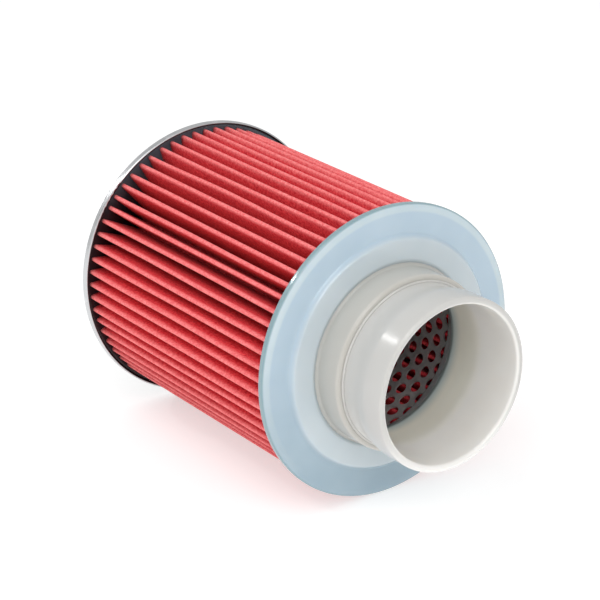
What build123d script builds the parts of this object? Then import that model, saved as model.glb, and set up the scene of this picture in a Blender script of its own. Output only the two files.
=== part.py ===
from build123d import *
import os
from math import asin, atan2, cos, degrees, hypot, radians, sin

# Round pleated air filter for a motorcycle airbox, lying on its side.
# The filter's axis is the X axis and the outlet points along +X. The origin is on that axis,
# in the plane of the front cap's flat sealing ring. Lengths are in millimetres, angles in degrees.
# Angles around the axis start at +Y and turn towards +Z.

# ---- overall ----
REAR_X = -131.3  # back face of the rear pan
MOUTH_X = 38.7  # open end of the outlet tube

# ---- outlet tube ----
BORE_R = 31.9  # clear air passage
TUBE_WALL = 1.4
TUBE_R = BORE_R + TUBE_WALL
TUBE_BACK_X = -1.0
MOUTH_R = 34.8  # thickened end that the intake boot is clamped on
FLARE_START_X = 18.5
FLARE_END_X = 28.5
MOUTH_OUTER_ROUND = 1.3
MOUTH_INNER_ROUND = 1.5

# ---- outlet collar: a socket with a flange buried in the front cap ----
COLLAR_R = 36.0
COLLAR_END_X = 14.2
COLLAR_END_ROUND = 1.5
FLANGE_R = 45.0
FLANGE_BACK_X = -0.6
FLANGE_FRONT_X = 1.0
BEAD_SIZE = 0.7  # adhesive bead in the corner between collar and tube
BEAD_BULGE = 0.65  # how far its middle stands out, as a share of its size

# ---- moulded front cap ----
CAP_R = 60.0
CAP_BACK_X = -2.9
CAP_SIDE_END_X = -0.9  # the straight side ends here and the rounded shoulder begins
SEAL_OUTER_R = 56.4
SEAL_INNER_R = 48.6
BOSS_FRONT_X = 1.8
BOSS_R = 46.3
LIP_END_X = -9.1  # the cap's lip reaches this far inside the core
LIP_EDGE = 0.5
PLEAT_FRONT_X = -1.8  # paper and core are cast into the cap up to here

# ---- perforated core ----
CORE_INNER_R = 37.8
CORE_SHEET = 0.8
CORE_OUTER_R = CORE_INNER_R + CORE_SHEET
HOLE_R = 2.5
HOLES_AROUND = 34
COLUMN_SPACING = 6.06  # holes lie on a 7 mm triangular lattice
FIRST_COLUMN_X = -9.6
COLUMN_COUNT = 19
FIRST_HOLE_ANGLE = 1.7
SEAM_ANGLE = 102.3  # the rolled sheet laps here, where no holes are punched
SEAM_WIDTH = 7.0
SEAM_CLEARANCE = 0.75  # least distance from seam to hole, as a share of the hole spacing

# ---- pleated paper ----
PLEAT_COUNT = 64
PLEAT_PITCH = 360 / PLEAT_COUNT
PLEAT_TIP_R = 58.5
PLEAT_ROOT_R = 39.0
PAPER = 0.6
FOLD_R = 0.55  # to the middle of the paper
FIRST_PLEAT_ANGLE = -0.35
PLEAT_BACK_X = -130.2

# ---- clip that joins the two ends of the paper, over one pleat ----
CLIP_ANGLE = FIRST_PLEAT_ANGLE - 5 * PLEAT_PITCH
CLIP_SHEET = 0.4
CLIP_INNER_WIDTH = 2.6
CLIP_DEPTH = 6.0
CLIP_GAP = 0.05

# ---- rear pan and its potting ----
PAN_R = 60.8
PAN_SHEET = 0.6
PAN_FRONT_X = -127.6
PAN_CORNER_R = 1.2
HEM_LENGTH = 1.4
PANEL_R = 30.0  # shallow panel pressed into the pan's middle
PANEL_DEPTH = 1.2
PANEL_SLOPE = 2.0
POTTING_FRONT_X = -128.6

PAN_FLOOR_X = REAR_X + PAN_SHEET


def turned(*lines):
    """A solid turned about the X axis from outline pieces drawn as (x, radius)."""
    return revolve(make_face(Curve() + list(lines)), Axis.X)


def ring(x0, x1, r0, r1):
    """A plain ring from x0 to x1 between two radii."""
    return turned(Polyline((x0, r0), (x1, r0), (x1, r1), (x0, r1), close=True))


def fold_outline(tip_fold, root_fold):
    """Closed outline of one face of the paper: round tips, round roots and straight walls."""
    tip_centre_r = PLEAT_TIP_R - FOLD_R - PAPER / 2
    root_centre_r = PLEAT_ROOT_R + FOLD_R + PAPER / 2
    half = radians(PLEAT_PITCH / 2)
    run_x = root_centre_r * cos(half) - tip_centre_r
    run_y = root_centre_r * sin(half)
    lean = degrees(asin(2 * FOLD_R / hypot(run_x, run_y)))
    wrap = degrees(atan2(run_y, run_x)) - 90 + lean  # how far a tip's arc reaches to each side
    arcs = []
    for k in range(PLEAT_COUNT):
        tip_angle = FIRST_PLEAT_ANGLE + k * PLEAT_PITCH
        root_angle = tip_angle + PLEAT_PITCH / 2
        tip_centre = Vector(tip_centre_r, 0).rotate(Axis.Z, tip_angle)
        root_centre = Vector(root_centre_r, 0).rotate(Axis.Z, root_angle)
        arcs.append(CenterArc(tip_centre, tip_fold, tip_angle - wrap, 2 * wrap))
        arcs.append(CenterArc(root_centre, root_fold, tip_angle + wrap + 180, PLEAT_PITCH - 2 * wrap))
    walls = [Line(arc @ 1, arcs[(i + 1) % len(arcs)] @ 0) for i, arc in enumerate(arcs)]
    return make_face(Curve() + arcs + walls)


def make_pleated_paper():
    outer = fold_outline(FOLD_R + PAPER / 2, FOLD_R - PAPER / 2)
    inner = fold_outline(FOLD_R - PAPER / 2, FOLD_R + PAPER / 2)
    section = Plane.YZ.offset(PLEAT_BACK_X) * (outer - inner)
    return extrude(section, PLEAT_FRONT_X - PLEAT_BACK_X)


def make_seam_clip():
    """A folded strip over one pleat, drawn radially outwards along Y and then turned into place."""
    top_r = PLEAT_TIP_R + CLIP_GAP
    outer_width = CLIP_INNER_WIDTH + 2 * CLIP_SHEET
    channel = Pos(top_r + CLIP_SHEET - CLIP_DEPTH / 2, 0) * Rectangle(CLIP_DEPTH, outer_width)
    channel -= Pos(top_r - CLIP_DEPTH / 2, 0) * Rectangle(CLIP_DEPTH, CLIP_INNER_WIDTH)
    section = Plane.YZ.offset(PLEAT_BACK_X) * channel
    return Rot(X=CLIP_ANGLE) * extrude(section, PLEAT_FRONT_X - PLEAT_BACK_X)


def make_perforated_core():
    tube = ring(PAN_FLOOR_X, PLEAT_FRONT_X, CORE_INNER_R, CORE_OUTER_R)
    punch = Pos(0, (CORE_INNER_R + CORE_OUTER_R) / 2, 0) * Rot(X=90) * Cylinder(HOLE_R, 3 * CORE_SHEET)
    hole_step = 360 / HOLES_AROUND
    punches = []
    for column in range(COLUMN_COUNT):
        x = FIRST_COLUMN_X - column * COLUMN_SPACING
        stagger = hole_step / 2 * (column % 2)
        for k in range(HOLES_AROUND):
            angle = FIRST_HOLE_ANGLE + stagger + k * hole_step
            off_seam = abs((angle - SEAM_ANGLE + 180) % 360 - 180)
            if off_seam > SEAM_CLEARANCE * hole_step:
                punches.append(Pos(x, 0, 0) * Rot(X=angle) * punch)
    lap_angle = degrees(SEAM_WIDTH / CORE_INNER_R)
    lap_face = Polyline(
        (PAN_FLOOR_X, CORE_INNER_R - CORE_SHEET),
        (PLEAT_FRONT_X, CORE_INNER_R - CORE_SHEET),
        (PLEAT_FRONT_X, CORE_INNER_R),
        (PAN_FLOOR_X, CORE_INNER_R),
        close=True,
    )
    lap = Rot(X=SEAM_ANGLE - lap_angle / 2) * revolve(make_face(lap_face), Axis.X, lap_angle)
    return (tube - punches) + lap


def make_rear_end_cap():
    """A pressed steel pan: flat floor with a shallow panel, rounded corner, and a rim hemmed inwards."""
    hem_r = PAN_SHEET  # the doubled edge is rounded over its full thickness
    side_top_x = PAN_FRONT_X - hem_r
    inner_r = PAN_R - PAN_SHEET
    hem_inner_r = PAN_R - 2 * hem_r
    inner_corner = PAN_CORNER_R - PAN_SHEET
    corner_x = REAR_X + PAN_CORNER_R
    corner_r = PAN_R - PAN_CORNER_R
    outline = [
        Line((REAR_X + PANEL_DEPTH, 0), (REAR_X + PANEL_DEPTH, PANEL_R - PANEL_SLOPE)),
        Line((REAR_X + PANEL_DEPTH, PANEL_R - PANEL_SLOPE), (REAR_X, PANEL_R)),
        Line((REAR_X, PANEL_R), (REAR_X, corner_r)),
        CenterArc((corner_x, corner_r), PAN_CORNER_R, 180, -90),
        Line((corner_x, PAN_R), (side_top_x, PAN_R)),
        CenterArc((side_top_x, PAN_R - hem_r), hem_r, 90, -180),
        Line((side_top_x, hem_inner_r), (side_top_x - HEM_LENGTH, hem_inner_r)),
        Line((side_top_x - HEM_LENGTH, hem_inner_r), (side_top_x - HEM_LENGTH, inner_r)),
        Line((side_top_x - HEM_LENGTH, inner_r), (corner_x, inner_r)),
        CenterArc((corner_x, corner_r), inner_corner, 90, 90),
        Line((PAN_FLOOR_X, corner_r), (PAN_FLOOR_X, PANEL_R)),
        Line((PAN_FLOOR_X, PANEL_R), (PAN_FLOOR_X + PANEL_DEPTH, PANEL_R - PANEL_SLOPE)),
        Line((PAN_FLOOR_X + PANEL_DEPTH, PANEL_R - PANEL_SLOPE), (PAN_FLOOR_X + PANEL_DEPTH, 0)),
        Line((PAN_FLOOR_X + PANEL_DEPTH, 0), (REAR_X + PANEL_DEPTH, 0)),
    ]
    return turned(*outline)


def make_rear_potting(pan, paper, clip):
    """Compound poured into the pan round the outside of the core; the paper's ends stand in it."""
    return ring(PAN_FLOOR_X, POTTING_FRONT_X, CORE_OUTER_R, PAN_R - PAN_SHEET) - pan - paper - clip


def make_front_end_cap(paper, core, clip):
    """Soft cap with a raised boss, cast round the collar's flange and the ends of paper and core."""
    shoulder_rise = -CAP_SIDE_END_X
    shoulder_width = CAP_R - SEAL_OUTER_R
    shoulder = EllipticalCenterArc(
        (CAP_SIDE_END_X, SEAL_OUTER_R), shoulder_rise, shoulder_width, start_angle=0, arc_size=90
    )
    boss_step = Spline((0, SEAL_INNER_R), (BOSS_FRONT_X, BOSS_R), tangents=((0, -1), (0, -1)))
    outline = [
        Polyline((CAP_BACK_X, CORE_INNER_R), (CAP_BACK_X, CAP_R), (CAP_SIDE_END_X, CAP_R)),
        shoulder,
        Line((0, SEAL_OUTER_R), (0, SEAL_INNER_R)),
        boss_step,
        Polyline(
            (BOSS_FRONT_X, BOSS_R),
            (BOSS_FRONT_X, COLLAR_R),
            (FLANGE_FRONT_X, COLLAR_R),
            (FLANGE_FRONT_X, FLANGE_R),
            (FLANGE_BACK_X, FLANGE_R),
            (FLANGE_BACK_X, TUBE_R),
            (TUBE_BACK_X, TUBE_R),
            (TUBE_BACK_X, BORE_R),
            (LIP_END_X, CORE_INNER_R - LIP_EDGE),
            (LIP_END_X, CORE_INNER_R),
            (CAP_BACK_X, CORE_INNER_R),
        ),
    ]
    return turned(*outline) - core - paper - clip


def make_outlet_collar():
    end_round = CenterArc(
        (COLLAR_END_X - COLLAR_END_ROUND, COLLAR_R - COLLAR_END_ROUND), COLLAR_END_ROUND, 90, -90
    )
    outline = [
        Polyline(
            (FLANGE_BACK_X, TUBE_R),
            (FLANGE_BACK_X, FLANGE_R),
            (FLANGE_FRONT_X, FLANGE_R),
            (FLANGE_FRONT_X, COLLAR_R),
            end_round @ 0,
        ),
        end_round,
        Polyline(end_round @ 1, (COLLAR_END_X, TUBE_R), (FLANGE_BACK_X, TUBE_R)),
    ]
    return turned(*outline)


def make_joint_bead():
    middle = BEAD_BULGE * BEAD_SIZE
    curve = ThreePointArc(
        (COLLAR_END_X, TUBE_R + BEAD_SIZE),
        (COLLAR_END_X + middle, TUBE_R + middle),
        (COLLAR_END_X + BEAD_SIZE, TUBE_R),
    )
    return turned(curve, Polyline(curve @ 1, (COLLAR_END_X, TUBE_R), curve @ 0))


def make_outlet_tube():
    flare = Spline((FLARE_START_X, TUBE_R), (FLARE_END_X, MOUTH_R), tangents=((1, 0), (1, 0)))
    outer_round = CenterArc(
        (MOUTH_X - MOUTH_OUTER_ROUND, MOUTH_R - MOUTH_OUTER_ROUND), MOUTH_OUTER_ROUND, 90, -90
    )
    inner_round = CenterArc(
        (MOUTH_X - MOUTH_INNER_ROUND, BORE_R + MOUTH_INNER_ROUND), MOUTH_INNER_ROUND, 0, -90
    )
    outline = [
        Polyline((TUBE_BACK_X, BORE_R), (TUBE_BACK_X, TUBE_R), (FLARE_START_X, TUBE_R)),
        flare,
        Line((FLARE_END_X, MOUTH_R), outer_round @ 0),
        outer_round,
        Line(outer_round @ 1, inner_round @ 0),
        inner_round,
        Line(inner_round @ 1, (TUBE_BACK_X, BORE_R)),
    ]
    return turned(*outline)


paper = make_pleated_paper()
clip = make_seam_clip()
core = make_perforated_core()
pan = make_rear_end_cap()

nodes = {
    "pleated_paper": paper,
    "paper_seam_clip": clip,
    "perforated_core": core,
    "rear_end_cap": pan,
    "rear_potting": make_rear_potting(pan, paper, clip),
    "front_end_cap": make_front_end_cap(paper, core, clip),
    "outlet_collar": make_outlet_collar(),
    "collar_joint_bead": make_joint_bead(),
    "outlet_tube": make_outlet_tube(),
}

os.makedirs("parts", exist_ok=True)
for name, solid in nodes.items():
    export_step(solid, f"parts/{name}.step")
    box = solid.bounding_box()
    print(f"{name}: {len(solid.solids())} solid(s), {solid.volume:.0f} mm3, valid {solid.is_valid}")
    print(f"  x {box.min.X:.2f} to {box.max.X:.2f}, radius {box.max.Y:.2f}")
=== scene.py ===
from math import atan2, cos, pi, radians, sin

import bpy
import numpy as np
from mathutils import Matrix, Vector


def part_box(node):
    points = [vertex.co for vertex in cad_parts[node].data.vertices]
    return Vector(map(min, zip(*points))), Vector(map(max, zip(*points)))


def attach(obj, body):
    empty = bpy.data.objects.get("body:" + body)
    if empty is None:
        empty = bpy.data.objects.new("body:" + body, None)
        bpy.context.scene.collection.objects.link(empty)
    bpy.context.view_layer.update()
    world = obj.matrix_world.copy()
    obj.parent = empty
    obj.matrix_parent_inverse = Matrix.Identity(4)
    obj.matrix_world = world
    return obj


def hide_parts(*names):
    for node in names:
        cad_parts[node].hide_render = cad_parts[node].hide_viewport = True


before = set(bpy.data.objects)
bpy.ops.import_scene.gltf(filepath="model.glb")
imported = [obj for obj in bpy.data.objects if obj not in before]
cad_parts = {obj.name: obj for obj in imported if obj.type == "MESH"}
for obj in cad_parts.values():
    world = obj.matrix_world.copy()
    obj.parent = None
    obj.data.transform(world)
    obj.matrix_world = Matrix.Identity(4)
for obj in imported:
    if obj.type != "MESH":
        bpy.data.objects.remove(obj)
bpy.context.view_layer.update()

MM = 0.001

# ---- places read from the CAD frame: the filter's axis is the X axis ----
PAPER_LOW, PAPER_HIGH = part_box("pleated_paper")
PAN_LOW, PAN_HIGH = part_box("rear_end_cap")
POTTING_LOW, POTTING_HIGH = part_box("rear_potting")
CAP_LOW, CAP_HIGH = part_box("front_end_cap")
COLLAR_LOW, COLLAR_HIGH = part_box("outlet_collar")
TUBE_LOW, TUBE_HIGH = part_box("outlet_tube")
CLIP_LOW, CLIP_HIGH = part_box("paper_seam_clip")

FLOOR_Z = PAN_LOW.z
PAN_R = PAN_HIGH.y
CORE_OUTER_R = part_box("perforated_core")[1].y
CAP_R = CAP_HIGH.y
BOSS_FRONT_X = CAP_HIGH.x
FLANGE_R = COLLAR_HIGH.y
COLLAR_END_X = COLLAR_HIGH.x
BEAD_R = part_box("collar_joint_bead")[1].y
TUBE_BACK_X = TUBE_LOW.x
MOUTH_X = TUBE_HIGH.x
MOUTH_R = TUBE_HIGH.y

# ---- pleats ----
PLEAT_COUNT = 64
PLEAT_TIP_R = PAPER_HIGH.y
PLEAT_ROOT_R = 39.0 * MM
PAPER = 0.6 * MM
FOLD_R = 0.52 * MM
FIRST_PLEAT_ANGLE = radians(-0.35)
TAPER = 0.8 * MM  # the tips come in a little towards the front cap

# ---- front cap ----
SIDE_BACK_X = -2.9 * MM
SIDE_END_X = -0.9 * MM
SEAL_OUTER_R = 56.4 * MM
SEAL_INNER_R = 48.6 * MM
BOSS_R = 46.3 * MM
LIP_R = 37.3 * MM
LIP_OUTER_R = CORE_OUTER_R - 0.9 * MM
BACK_ROUND = 0.4 * MM

# ---- collar and tube ----
COLLAR_R = 36.0 * MM
COLLAR_ROUND = 1.5 * MM
COLLAR_FOOT = 1.1 * MM  # a small fillet where the collar rises out of the boss
FLANGE_FRONT_X = 1.0 * MM
BORE_R = 31.9 * MM
TUBE_R = 33.3 * MM
FLARE_START_X = 18.5 * MM
FLARE_END_X = 28.5 * MM
MOUTH_OUTER_ROUND = 1.3 * MM
MOUTH_INNER_ROUND = 1.5 * MM
SEAT_GAP = 0.02 * MM  # keeps the faces of neighbouring meshes apart

# ---- how finely the meshes are drawn ----
LATHE_STEPS = 320
PAPER_STATIONS = 49
TIP_POINTS, ROOT_POINTS, WALL_POINTS = 9, 7, 4

# ---- camera: where it stands, in azimuth, elevation and distance from the point it looks at ----
CAMERA_AZIMUTH = radians(54.06)
CAMERA_ELEVATION = radians(22.08)
CAMERA_DISTANCE = 0.7613
CAMERA_LENS = 117.88
CAMERA_AIM = Vector((-0.0270, -0.0232, 0.0187))


# ------------------------------------------------------------------ mesh helpers

def new_mesh(name, points, faces):
    """A smooth-shaded mesh object from a list of points and faces."""
    mesh = bpy.data.meshes.new(name)
    mesh.from_pydata([tuple(p) for p in points], [], faces)
    mesh.update()
    mesh.shade_smooth()
    piece = bpy.data.objects.new(name, mesh)
    bpy.context.scene.collection.objects.link(piece)
    return piece


def lathe(name, profile, shift=None):
    """A closed ring: the profile is a closed loop of (x, radius), turned about the X axis.
    shift(x, r, angle) may move a point a little, to take away the machined look."""
    points = []
    count = len(profile)
    for i in range(LATHE_STEPS):
        angle = 2 * pi * i / LATHE_STEPS
        for x, r in profile:
            if shift:
                x, r = shift(x, r, angle)
            points.append((x, r * cos(angle), r * sin(angle)))
    faces = []
    for i in range(LATHE_STEPS):
        a, b = i * count, (i + 1) % LATHE_STEPS * count
        for j in range(count):
            k = (j + 1) % count
            faces.append((a + j, a + k, b + k, b + j))
    return new_mesh(name, points, faces)


def arc(centre, radius, start, end, count, stretch=1.0):
    """Points on an arc, in degrees from the X axis; stretch widens it along the radius."""
    angles = np.radians(np.linspace(start, end, count))
    return [(centre[0] + radius * cos(t), centre[1] + stretch * radius * sin(t)) for t in angles]


def run(start, end, count):
    """Evenly spaced points from start towards end, without the end itself."""
    steps = [i / count for i in range(count)]
    return [(start[0] + (end[0] - start[0]) * t, start[1] + (end[1] - start[1]) * t) for t in steps]


def smooth_step(t):
    """0 to 1 along an S-shaped curve."""
    return 3 * t * t - 2 * t * t * t


def ease(start, end, count):
    """An S-shaped stretch from start to end that begins and ends along the radius."""
    steps = [i / count for i in range(count)]
    return [
        (start[0] + (end[0] - start[0]) * smooth_step(t), start[1] + (end[1] - start[1]) * t)
        for t in steps
    ]


# ------------------------------------------------------------------ material helpers

class Nodes:
    """Short names for building one material's node tree."""

    def __init__(self, name):
        self.material = bpy.data.materials.new(name)
        self.material.use_nodes = True
        self.tree = self.material.node_tree
        self.tree.nodes.clear()
        self.output = self.add("ShaderNodeOutputMaterial")
        self.shader = self.add("ShaderNodeBsdfPrincipled")
        self.link(self.shader.outputs[0], self.output.inputs["Surface"])
        self.place = self.add("ShaderNodeTexCoord").outputs["Object"]

    def add(self, kind, **settings):
        node = self.tree.nodes.new(kind)
        for key, value in settings.items():
            setattr(node, key, value)
        return node

    def link(self, a, b):
        self.tree.links.new(a, b)

    def set(self, **values):
        for key, value in values.items():
            self.shader.inputs[key.replace("_", " ")].default_value = value

    def maths(self, operation, a, b=None):
        node = self.add("ShaderNodeMath", operation=operation)
        for socket, value in zip(node.inputs, (a, b)):
            if value is None:
                continue
            if isinstance(value, (int, float)):
                socket.default_value = value
            else:
                self.link(value, socket)
        return node.outputs[0]

    def radius(self):
        """Distance from the filter's axis."""
        parts = self.add("ShaderNodeSeparateXYZ")
        self.link(self.place, parts.inputs[0])
        y2 = self.maths("MULTIPLY", parts.outputs["Y"], parts.outputs["Y"])
        z2 = self.maths("MULTIPLY", parts.outputs["Z"], parts.outputs["Z"])
        return self.maths("SQRT", self.maths("ADD", y2, z2))

    def along(self):
        """Distance along the filter's axis."""
        parts = self.add("ShaderNodeSeparateXYZ")
        self.link(self.place, parts.inputs[0])
        return parts.outputs["X"]

    def up(self):
        """Height above the filter's axis."""
        parts = self.add("ShaderNodeSeparateXYZ")
        self.link(self.place, parts.inputs[0])
        return parts.outputs["Z"]

    def between(self, value, low, high):
        """0 at low and below, 1 at high and above, smooth in between."""
        node = self.add("ShaderNodeMapRange", interpolation_type="SMOOTHSTEP")
        self.link(value, node.inputs["Value"])
        node.inputs["From Min"].default_value = low
        node.inputs["From Max"].default_value = high
        return node.outputs["Result"]

    def share(self, value, low, high):
        """0 at low and below, 1 at high and above, a straight line in between."""
        node = self.add("ShaderNodeMapRange")
        self.link(value, node.inputs["Value"])
        node.inputs["From Min"].default_value = low
        node.inputs["From Max"].default_value = high
        return node.outputs["Result"]

    def noise(self, scale, detail=4.0, roughness=0.6, stretch=(1, 1, 1)):
        mapping = self.add("ShaderNodeMapping")
        mapping.inputs["Scale"].default_value = stretch
        self.link(self.place, mapping.inputs["Vector"])
        node = self.add("ShaderNodeTexNoise")
        node.inputs["Scale"].default_value = scale
        node.inputs["Detail"].default_value = detail
        node.inputs["Roughness"].default_value = roughness
        self.link(mapping.outputs[0], node.inputs["Vector"])
        return node.outputs["Fac"]

    def mix(self, factor, a, b):
        node = self.add("ShaderNodeMix", data_type="RGBA")
        sockets = (node.inputs["Factor"], node.inputs[6], node.inputs[7])
        for socket, value in zip(sockets, (factor, a, b)):
            if isinstance(value, (int, float)):
                socket.default_value = value
            elif isinstance(value, tuple):
                socket.default_value = (*value, 1.0)
            else:
                self.link(value, socket)
        return node.outputs[2]

    def vary(self, value, low, high):
        """Spread a noise value, which mostly lies between 0.3 and 0.7, over low to high."""
        node = self.add("ShaderNodeMapRange")
        self.link(value, node.inputs["Value"])
        node.inputs["From Min"].default_value = 0.3
        node.inputs["From Max"].default_value = 0.7
        node.inputs["To Min"].default_value = low
        node.inputs["To Max"].default_value = high
        return node.outputs["Result"]

    def bump(self, height, distance, strength=1.0, under=None):
        node = self.add("ShaderNodeBump")
        node.inputs["Distance"].default_value = distance
        node.inputs["Strength"].default_value = strength
        self.link(height, node.inputs["Height"])
        if under is not None:
            self.link(under, node.inputs["Normal"])
        return node.outputs[0]

    def colour(self, socket):
        self.link(socket, self.shader.inputs["Base Color"])

    def rough(self, socket):
        self.link(socket, self.shader.inputs["Roughness"])

    def normal(self, socket):
        self.link(socket, self.shader.inputs["Normal"])


# ------------------------------------------------------------------ materials

def paper_material():
    """Resin-treated paper: crimson, with a pale fibrous grain, and a painted highlight on the folds, dimmer
    on the lower folds where painted shade falls.
    """
    m = Nodes("filter_paper")
    grain = m.noise(1000, detail=5, roughness=0.75)
    cloud = m.noise(90, detail=3)
    fibre = m.noise(420, detail=3, stretch=(0.3, 1, 1))
    speckle = m.between(grain, 0.36, 0.64)
    wall = m.mix(speckle, (0.60, 0.009, 0.026), (0.95, 0.105, 0.115))
    wall = m.mix(m.vary(cloud, 0, 0.3), wall, (0.68, 0.022, 0.038))
    # painted highlight on the fold tips, brighter on the upper tips and darker on the lower ones: painted
    # shade below
    upper_tip_highlight = m.mix(speckle, (0.84, 0.125, 0.135), (0.97, 0.270, 0.265))
    lower_tip_highlight = m.mix(speckle, (0.62, 0.080, 0.090), (0.82, 0.175, 0.175))
    tip = m.mix(m.between(m.up(), -60 * MM, -15 * MM), lower_tip_highlight, upper_tip_highlight)
    front_share = m.share(m.along(), PAPER_LOW.x, PAPER_HIGH.x)
    untapered = m.maths("ADD", m.radius(), m.maths("MULTIPLY", front_share, TAPER))
    at_tip = m.between(untapered, PLEAT_TIP_R - 2.6 * MM, PLEAT_TIP_R - 0.4 * MM)
    m.colour(m.mix(at_tip, wall, tip))
    m.set(IOR=1.4, Specular_IOR_Level=0.25, Sheen_Weight=0.05, Sheen_Roughness=0.5)
    m.rough(m.vary(fibre, 0.6, 0.8))
    m.normal(m.bump(grain, 0.08 * MM, 0.9, under=m.bump(fibre, 0.1 * MM, 0.6)))
    return m.material


def steel_material(name, dark, bright, roughness, metallic=1.0, shaded_below=None):
    """Plated sheet: faint crystal patches, rubbed streaks and small scratches.
    It is nearly black inside the radius shaded_below: painted shade, meant for the inner side of the pan's
    rim, but it goes by radius alone, so the pan's whole back is dark too: a known fault."""
    m = Nodes(name)
    cells = m.add("ShaderNodeTexVoronoi")
    cells.inputs["Scale"].default_value = 130
    m.link(m.place, cells.inputs["Vector"])
    patch = m.add("ShaderNodeSeparateColor")
    m.link(cells.outputs["Color"], patch.inputs[0])
    streaks = m.noise(500, detail=5, stretch=(1, 0.15, 0.15))
    shade = m.maths("ADD", m.maths("MULTIPLY", patch.outputs[0], 0.35), m.maths("MULTIPLY", streaks, 0.65))
    body = m.mix(shade, dark, bright)
    if shaded_below:
        open_metal = m.between(m.radius(), shaded_below - 0.2 * MM, shaded_below + 0.2 * MM)
        # painted shade: nearly black inside the radius shaded_below
        body = m.mix(open_metal, (0.03, 0.035, 0.04), body)
    m.colour(body)
    m.set(Metallic=metallic)
    m.rough(m.vary(streaks, roughness, roughness + 0.18))
    m.normal(m.bump(streaks, 0.02 * MM, 0.5))
    return m.material


def potting_material():
    """Cast compound, blue-grey at the top of the pan and painted almost black lower down: painted shade."""
    m = Nodes("potting_compound")
    cloud = m.noise(120, detail=3)
    blue = m.mix(m.vary(cloud, 0, 1), (0.060, 0.095, 0.115), (0.085, 0.130, 0.155))
    # painted shade: the lower part of the pour is nearly black
    painted_shade_compound = m.mix(m.vary(cloud, 0, 1), (0.010, 0.008, 0.010), (0.018, 0.014, 0.017))
    m.colour(m.mix(m.between(m.up(), 25 * MM, 50 * MM), painted_shade_compound, blue))
    m.set(Subsurface_Weight=0.3, Subsurface_Radius=(0.001, 0.0015, 0.002), Subsurface_Scale=1.0)
    m.rough(m.vary(cloud, 0.35, 0.5))
    m.normal(m.bump(cloud, 0.1 * MM, 0.5))
    return m.material


def moulded_cap_material():
    """Soft light-blue compound, pale over the boss, where the collar's white flange lies under it. It is
    painted darker blue lower down (painted shade), with a whitish painted highlight on the upper part of
    the rounded rim and a greenish painted shade on the side."""
    m = Nodes("moulded_cap")
    cloud = m.noise(45, detail=2)
    radius = m.radius()
    blue = m.mix(m.vary(cloud, 0, 1), (0.460, 0.585, 0.685), (0.500, 0.625, 0.720))
    # painted shade: a darker blue for the lower part of the cap
    shaded_lower_blue = m.mix(m.vary(cloud, 0, 1), (0.310, 0.420, 0.495), (0.350, 0.460, 0.530))
    # painted highlight: whitish, for the upper part of the rim's shoulder
    rim_highlight_white = m.mix(m.vary(cloud, 0, 1), (0.54, 0.65, 0.70), (0.60, 0.70, 0.745))
    # painted shade: a darker greenish tone for the rim's side
    side_shade_green = (0.25, 0.37, 0.405)
    pale = m.mix(m.vary(cloud, 0, 1), (0.545, 0.62, 0.66), (0.585, 0.655, 0.69))
    # 1 on the upper part; the lower part takes the painted shade
    raised = m.between(m.up(), -50 * MM, 25 * MM)
    ring = m.mix(raised, shaded_lower_blue, blue)
    rim = m.mix(raised, shaded_lower_blue, rim_highlight_white)
    body = m.mix(m.between(radius, SEAL_OUTER_R - 0.2 * MM, SEAL_OUTER_R + 1.0 * MM), ring, rim)
    body = m.mix(m.between(radius, CAP_R - 0.9 * MM, CAP_R - 0.1 * MM), body, side_shade_green)
    off_flange = m.between(radius, BOSS_R - 0.2 * MM, SEAL_INNER_R - 0.4 * MM)
    m.colour(m.mix(off_flange, pale, body))
    m.set(
        Subsurface_Weight=0.3,
        Subsurface_Radius=(0.0010, 0.0014, 0.0018),
        Subsurface_Scale=1.0,
        IOR=1.5,
        Coat_Weight=0.3,
        Coat_Roughness=0.08,
    )
    grain = m.noise(250, detail=3)
    m.rough(m.vary(grain, 0.17, 0.25))
    m.normal(m.bump(grain, 0.003 * MM, 0.4, under=m.bump(cloud, 0.25 * MM, 0.5)))
    return m.material


def white_plastic(m, body):
    """The finish of natural white plastic that lets some light through."""
    cloud = m.noise(40, detail=2)
    m.colour(m.mix(m.vary(cloud, 0, 0.12), body, (0.50, 0.485, 0.46)))
    m.set(
        Subsurface_Weight=0.5,
        Subsurface_Radius=(0.0022, 0.0021, 0.0020),
        Subsurface_Scale=1.0,
        IOR=1.5,
    )
    m.rough(m.vary(m.noise(120, detail=2), 0.17, 0.25))
    m.normal(m.bump(cloud, 0.2 * MM, 0.4))
    return m.material


def tube_material():
    """White outside, painted much lighter on its lower side: painted light. Inside it is warmer where the
    collar lies behind it, and blue-grey by the core: painted shade.
    """
    m = Nodes("tube_plastic")
    x = m.along()
    # painted light: the lower side of the outside is painted much lighter than the top
    outside_painted_light = m.mix(m.between(m.up(), -40 * MM, -5 * MM), (0.93, 0.915, 0.89), (0.600, 0.595, 0.575))
    # painted shade: blue-grey deep in the bore by the core
    shade_by_core, behind_collar, by_mouth = (0.50, 0.61, 0.62), (0.96, 0.925, 0.81), (0.93, 0.915, 0.885)
    inside = m.mix(m.between(x, TUBE_BACK_X, 6 * MM), shade_by_core, behind_collar)
    inside = m.mix(m.between(x, COLLAR_END_X - 3 * MM, COLLAR_END_X + 5 * MM), inside, by_mouth)
    is_outside = m.between(m.radius(), BORE_R + 0.3 * MM, BORE_R + 1.2 * MM)
    return white_plastic(m, m.mix(is_outside, inside, outside_painted_light))


def collar_material():
    """White that turns a little warmer away from the cap."""
    m = Nodes("collar_plastic")
    by_cap, by_tube = (0.53, 0.53, 0.50), (0.56, 0.545, 0.505)
    return white_plastic(m, m.mix(m.between(m.along(), BOSS_FRONT_X, COLLAR_END_X), by_cap, by_tube))


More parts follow.
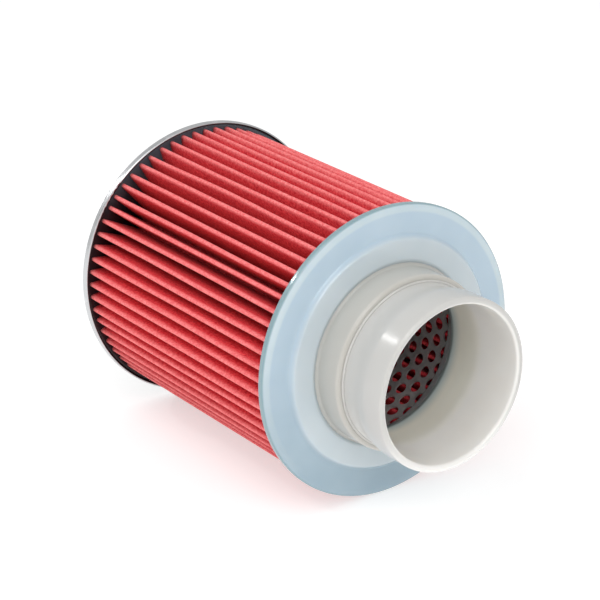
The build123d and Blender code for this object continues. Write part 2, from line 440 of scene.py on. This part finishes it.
def adhesive_material():
    """Cured clear adhesive, a little lumpy."""
    m = Nodes("joint_adhesive")
    lumps = m.noise(300, detail=2)
    m.colour(m.mix(m.vary(lumps, 0, 1), (0.62, 0.61, 0.58), (0.68, 0.67, 0.64)))
    m.set(Subsurface_Weight=0.4, Subsurface_Radius=(0.002, 0.002, 0.002), Subsurface_Scale=1.0)
    m.rough(m.vary(lumps, 0.40, 0.55))
    m.normal(m.bump(lumps, 0.05 * MM, 0.6))
    return m.material


def floor_material():
    """Plain white studio floor that gives off some light of its own, so it shows no edge."""
    m = Nodes("studio_floor")
    m.colour(m.mix(m.noise(3, detail=2), (0.58, 0.58, 0.58), (0.60, 0.60, 0.60)))
    m.set(Roughness=0.9, Emission_Color=(1, 1, 1, 1), Emission_Strength=0.56)
    return m.material


# ------------------------------------------------------------------ pleated paper

def wall_normal(tip, root, side):
    """Direction from a tip's centre to the flat wall on one side of it; the wall touches both folds."""
    gap = root - tip
    lean = np.arcsin(2 * FOLD_R / np.linalg.norm(gap))
    return np.arctan2(gap[1], gap[0]) - side * (pi / 2 - lean)


def around(centres_r, angles):
    """Points at these radii and angles round the axis."""
    return centres_r[:, None] * np.stack([np.cos(angles), np.sin(angles)], 1)


def fold_points(centre, radius, start, end, count):
    """Points on the arc of one fold."""
    return [centre + radius * np.array([cos(t), sin(t)]) for t in np.linspace(start, end, count)]


def pleat_section(tip_angles, tip_radii, bulges, offset):
    """One cross-section of one face of the paper, offset from its middle, as points round the axis."""
    count = len(tip_angles)
    tip_fold, root_fold = FOLD_R + offset, FOLD_R - offset
    wrapped = np.append(tip_angles[1:], tip_angles[0] + 2 * pi)
    root_angles = (tip_angles + wrapped) / 2
    tip_centres = around(tip_radii - FOLD_R - PAPER / 2, tip_angles)
    root_centres = around(np.full(count, PLEAT_ROOT_R + FOLD_R + PAPER / 2), root_angles)
    points = []
    for k in range(count):
        tip, root, before = tip_centres[k], root_centres[k], root_centres[k - 1]
        after = tip_centres[(k + 1) % count]
        start, end = wall_normal(tip, before, -1), wall_normal(tip, root, 1)
        end = start + (end - start) % (2 * pi)
        points += fold_points(tip, tip_fold, start, end, TIP_POINTS)
        wall_start = points[-1]
        root_start = end + pi
        root_end = wall_normal(after, root, -1) + pi
        root_end = root_start - (root_start - root_end) % (2 * pi)
        root_points = fold_points(root, root_fold, root_start, root_end, ROOT_POINTS)
        points += wall_points(wall_start, root_points[0], bulges[2 * k])
        points += root_points
        next_start = after + tip_fold * np.array([cos(root_end - pi), sin(root_end - pi)])
        points += wall_points(root_points[-1], next_start, bulges[2 * k + 1])
    return np.array(points)


def wall_points(start, end, bulge):
    """Points inside a flat wall, bowed a little sideways."""
    along = end - start
    side = np.array([-along[1], along[0]]) / np.linalg.norm(along)
    steps = np.arange(1, WALL_POINTS + 1) / (WALL_POINTS + 1)
    return [start + along * t + side * bulge * sin(pi * t) for t in steps]


def sheet_faces(stations, count):
    """Faces of a closed tube of sheet. Each station holds count outer points and then count inner ones."""
    faces = []
    for s in range(stations - 1):
        here, there = 2 * count * s, 2 * count * (s + 1)
        for j in range(count):
            k = (j + 1) % count
            faces.append((here + j, here + k, there + k, there + j))
            faces.append((here + count + k, here + count + j, there + count + j, there + count + k))
    last = 2 * count * (stations - 1)
    for j in range(count):
        k = (j + 1) % count
        faces.append((j, count + j, count + k, k))
        faces.append((last + k, last + count + k, last + count + j, last + j))
    return faces


def make_paper():
    """Corrugated paper tube with slightly uneven pleats, true thickness and closed ends."""
    rng = np.random.default_rng(7)
    xs = np.linspace(PAPER_LOW.x, PAPER_HIGH.x, PAPER_STATIONS)
    spacing = 2 * pi / PLEAT_COUNT
    base = FIRST_PLEAT_ANGLE + spacing * np.arange(PLEAT_COUNT)
    clip_angle = atan2(CLIP_LOW.z + CLIP_HIGH.z, CLIP_LOW.y + CLIP_HIGH.y)
    from_clip = np.abs((base - clip_angle + pi) % (2 * pi) - pi)
    loose = np.clip(from_clip / spacing - 0.5, 0, 1)  # the clipped pleat stays straight
    lean = rng.normal(0, 0.03, PLEAT_COUNT) * spacing * loose
    sink = rng.uniform(0, 0.4, PLEAT_COUNT) * MM * loose
    wave_size = rng.normal(0, 0.014, (3, PLEAT_COUNT)) * spacing * loose
    wave_phase = rng.uniform(0, 2 * pi, (3, PLEAT_COUNT))
    bulge = rng.normal(0, 0.16, 2 * PLEAT_COUNT) * MM
    loops = []
    for x in xs:
        t = (x - PAPER_LOW.x) / (PAPER_HIGH.x - PAPER_LOW.x)
        waves = sum(wave_size[i] * np.sin((i + 1) * pi * t + wave_phase[i]) for i in range(3))
        tips = base + lean + waves
        held = sin(pi * t) ** 0.5  # walls are flattest where the caps hold them
        loops.append([
            pleat_section(tips, PLEAT_TIP_R - sink - TAPER * t, bulge * held, offset)
            for offset in (PAPER / 2, -PAPER / 2)
        ])
    count = len(loops[0][0])
    points = []
    for x, (outer, inner) in zip(xs, loops):
        for section in (outer, inner):
            points += [(x, y, z) for y, z in section]
    piece = new_mesh("pleated_paper_sheet", points, sheet_faces(PAPER_STATIONS, count))
    piece.data.materials.append(paper_material())
    return piece


# ------------------------------------------------------------------ cast and moulded pieces

def make_potting():
    """Poured compound, level in the middle and drawn up a little at its edges."""
    inner, outer = CORE_OUTER_R, POTTING_HIGH.y
    floor_x, top_x = POTTING_LOW.x, POTTING_HIGH.x
    rise = 0.5 * MM
    corner = 0.6 * MM
    top_points = 13
    top = []
    for i in range(top_points):
        t = i / (top_points - 1)
        edge = abs(2 * t - 1) ** 6
        top.append((top_x - rise + rise * edge, outer + (inner - outer) * t))
    profile = [(floor_x, inner), (floor_x, outer - corner), (floor_x + corner, outer)] + top
    piece = lathe("rear_potting_pour", profile)
    piece.data.materials.append(potting_material())
    return piece


def cap_profile():
    """Outline of the front cap: rounded shoulder, flat sealing ring, boss, and the lip inside the core."""
    rise, width = -SIDE_END_X, CAP_R - SEAL_OUTER_R
    seat_r = COLLAR_R + COLLAR_FOOT + SEAT_GAP
    throat_r = BORE_R + 0.1 * MM
    profile = arc((SIDE_BACK_X + BACK_ROUND, CAP_R - BACK_ROUND), BACK_ROUND, 180, 90, 5)
    profile += run((SIDE_BACK_X + BACK_ROUND, CAP_R), (SIDE_END_X, CAP_R), 3)[1:]
    profile += arc((SIDE_END_X, SEAL_OUTER_R), rise, 90, 0, 14, stretch=width / rise)
    profile += run((0, SEAL_OUTER_R), (0, SEAL_INNER_R), 6)[1:]
    profile += ease((0, SEAL_INNER_R), (BOSS_FRONT_X, BOSS_R), 10)
    profile += run((BOSS_FRONT_X, BOSS_R), (BOSS_FRONT_X, seat_r), 6)
    profile += run((BOSS_FRONT_X, seat_r), (TUBE_BACK_X, seat_r), 2)
    profile += run((TUBE_BACK_X, seat_r), (TUBE_BACK_X, throat_r), 3)
    profile += run((TUBE_BACK_X, throat_r), (CAP_LOW.x, LIP_R), 8)
    profile += run((CAP_LOW.x, LIP_R), (CAP_LOW.x, LIP_OUTER_R), 2)
    profile += run((CAP_LOW.x, LIP_OUTER_R), (SIDE_BACK_X, LIP_OUTER_R), 3)
    profile += run((SIDE_BACK_X, LIP_OUTER_R), (SIDE_BACK_X, CAP_R - BACK_ROUND), 12)
    return profile


def make_front_cap():
    unevenness = 0.06 * MM

    def uneven(x, r, angle):
        """The rim's shoulder is moulded a touch uneven."""
        if x > SIDE_BACK_X and SEAL_OUTER_R < r < CAP_R:
            x -= unevenness * (1 + sin(3 * angle + 1.0)) * (r - SEAL_OUTER_R) / (CAP_R - SEAL_OUTER_R)
        return x, r

    piece = lathe("front_cap_moulding", cap_profile(), shift=uneven)
    piece.data.materials.append(moulded_cap_material())
    return piece


def make_collar():
    """The socket, with its flange in the cap and a fillet at its foot."""
    inner_r = TUBE_R + SEAT_GAP
    foot_r = COLLAR_R + COLLAR_FOOT
    back, front = COLLAR_LOW.x, FLANGE_FRONT_X
    profile = run((back, inner_r), (back, FLANGE_R), 4)
    profile += run((back, FLANGE_R), (front, FLANGE_R), 2)
    profile += run((front, FLANGE_R), (front, foot_r), 4)
    profile += run((front, foot_r), (BOSS_FRONT_X, foot_r), 2)
    profile += arc((BOSS_FRONT_X + COLLAR_FOOT, foot_r), COLLAR_FOOT, 180, 270, 9)
    profile += run((BOSS_FRONT_X + COLLAR_FOOT, COLLAR_R), (COLLAR_END_X - COLLAR_ROUND, COLLAR_R), 10)[1:]
    profile += arc((COLLAR_END_X - COLLAR_ROUND, COLLAR_R - COLLAR_ROUND), COLLAR_ROUND, 90, 0, 9)
    profile += run((COLLAR_END_X, COLLAR_R - COLLAR_ROUND), (COLLAR_END_X, inner_r), 3)[1:]
    profile += run((COLLAR_END_X, inner_r), (back, inner_r), 12)
    piece = lathe("outlet_collar_moulding", profile)
    piece.data.materials.append(collar_material())
    return piece


def make_bead():
    """A thin bead of adhesive in the corner between collar and tube."""
    corner = (COLLAR_END_X, TUBE_R)
    lump = 0.03 * MM
    curve = arc(corner, BEAD_R - TUBE_R, 90, 0, 9)
    profile = [(x, r + lump * sin(60 * r)) for x, r in curve] + [corner]
    piece = lathe("collar_joint_adhesive", profile)
    piece.data.materials.append(adhesive_material())
    return piece


def make_tube():
    """Straight bore, and a wall that swells to a thickened, rounded mouth."""
    profile = run((TUBE_BACK_X, BORE_R), (TUBE_BACK_X, TUBE_R), 3)
    profile += run((TUBE_BACK_X, TUBE_R), (FLARE_START_X, TUBE_R), 12)
    flare_points = 15
    flare_length = FLARE_END_X - FLARE_START_X
    for i in range(flare_points):
        t = i / (flare_points - 1)
        profile.append((FLARE_START_X + flare_length * t, TUBE_R + (MOUTH_R - TUBE_R) * smooth_step(t)))
    profile += run((FLARE_END_X, MOUTH_R), (MOUTH_X - MOUTH_OUTER_ROUND, MOUTH_R), 6)[1:]
    profile += arc((MOUTH_X - MOUTH_OUTER_ROUND, MOUTH_R - MOUTH_OUTER_ROUND), MOUTH_OUTER_ROUND, 90, 0, 10)
    profile += arc((MOUTH_X - MOUTH_INNER_ROUND, BORE_R + MOUTH_INNER_ROUND), MOUTH_INNER_ROUND, 0, -90, 10)
    profile += run((MOUTH_X - MOUTH_INNER_ROUND, BORE_R), (TUBE_BACK_X, BORE_R), 20)[1:]
    piece = lathe("outlet_tube_moulding", profile)
    piece.data.materials.append(tube_material())
    return piece


# ------------------------------------------------------------------ stage

def make_floor():
    size = 3.0
    steps = 24
    points = []
    for j in range(steps + 1):
        for i in range(steps + 1):
            points.append(((i / steps - 0.5) * size, (j / steps - 0.5) * size, FLOOR_Z))
    faces = []
    for j in range(steps):
        for i in range(steps):
            a = j * (steps + 1) + i
            faces.append((a, a + 1, a + steps + 2, a + steps + 1))
    piece = new_mesh("studio_floor", points, faces)
    piece.data.materials.append(floor_material())
    return piece


def add_light(name, azimuth, elevation, distance, size, power):
    """A round soft light aimed at the middle of the filter. Azimuth is measured from +X towards +Y."""
    centre = Vector((-0.045, 0, 0))
    a, e = radians(azimuth), radians(elevation)
    direction = Vector((cos(e) * cos(a), cos(e) * sin(a), sin(e)))
    data = bpy.data.lights.new(name, "AREA")
    data.shape = "DISK"
    data.size = size
    data.energy = power
    lamp = bpy.data.objects.new(name, data)
    lamp.location = centre + direction * distance
    lamp.rotation_euler = direction.to_track_quat("Z", "Y").to_euler()
    bpy.context.scene.collection.objects.link(lamp)


def make_lights():
    add_light("key_back_left", -148, 33, 1.2, 0.07, 1.2)
    add_light("overhead_left", -85, 60, 1.3, 0.9, 4.4)
    add_light("fill_front", -15, 35, 1.4, 0.9, 5.0)
    world = bpy.data.worlds.new("studio_white")
    world.use_nodes = True
    background = world.node_tree.nodes["Background"]
    background.inputs["Color"].default_value = (1, 1, 1, 1)
    background.inputs["Strength"].default_value = 0.62
    bpy.context.scene.world = world


def make_camera():
    right = Vector((cos(CAMERA_AZIMUTH), sin(CAMERA_AZIMUTH), 0))
    back = Vector((
        sin(CAMERA_AZIMUTH) * cos(CAMERA_ELEVATION),
        -cos(CAMERA_AZIMUTH) * cos(CAMERA_ELEVATION),
        sin(CAMERA_ELEVATION),
    ))
    up = back.cross(right)
    turn = Matrix((right, up, back)).transposed().to_4x4()
    data = bpy.data.cameras.new("camera")
    data.lens = CAMERA_LENS
    data.sensor_width = 36
    data.clip_start = 0.01
    camera = bpy.data.objects.new("camera", data)
    camera.matrix_world = Matrix.Translation(CAMERA_AIM + back * CAMERA_DISTANCE) @ turn
    bpy.context.scene.collection.objects.link(camera)
    bpy.context.scene.camera = camera


# ------------------------------------------------------------------ assembly

def finish_cad_node(name, material):
    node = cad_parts[name]
    node.data.materials.clear()
    node.data.materials.append(material)


make_camera()
make_lights()
make_floor()

for piece, node, slot in (
    (make_paper(), "pleated_paper", "filter_paper"),
    (make_potting(), "rear_potting", "potting_compound"),
    (make_front_cap(), "front_end_cap", "moulded_cap"),
    (make_collar(), "outlet_collar", "white_plastic"),
    (make_bead(), "collar_joint_bead", "joint_adhesive"),
    (make_tube(), "outlet_tube", "white_plastic"),
):
    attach(piece, "root")
    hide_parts(node)

plated = steel_material("plated_steel", (0.50, 0.51, 0.52), (0.78, 0.79, 0.80), 0.24)
pan_steel = steel_material(
    "pan_steel", (0.50, 0.51, 0.52), (0.78, 0.79, 0.80), 0.24, shaded_below=PAN_R - 0.55 * MM
)
dull = steel_material("core_steel", (0.34, 0.32, 0.32), (0.52, 0.49, 0.49), 0.45, metallic=0.45)
finish_cad_node("rear_end_cap", pan_steel)
finish_cad_node("paper_seam_clip", plated)
finish_cad_node("perforated_core", dull)

scene = bpy.context.scene
scene.view_settings.view_transform = "Standard"
scene.cycles.use_denoising = True
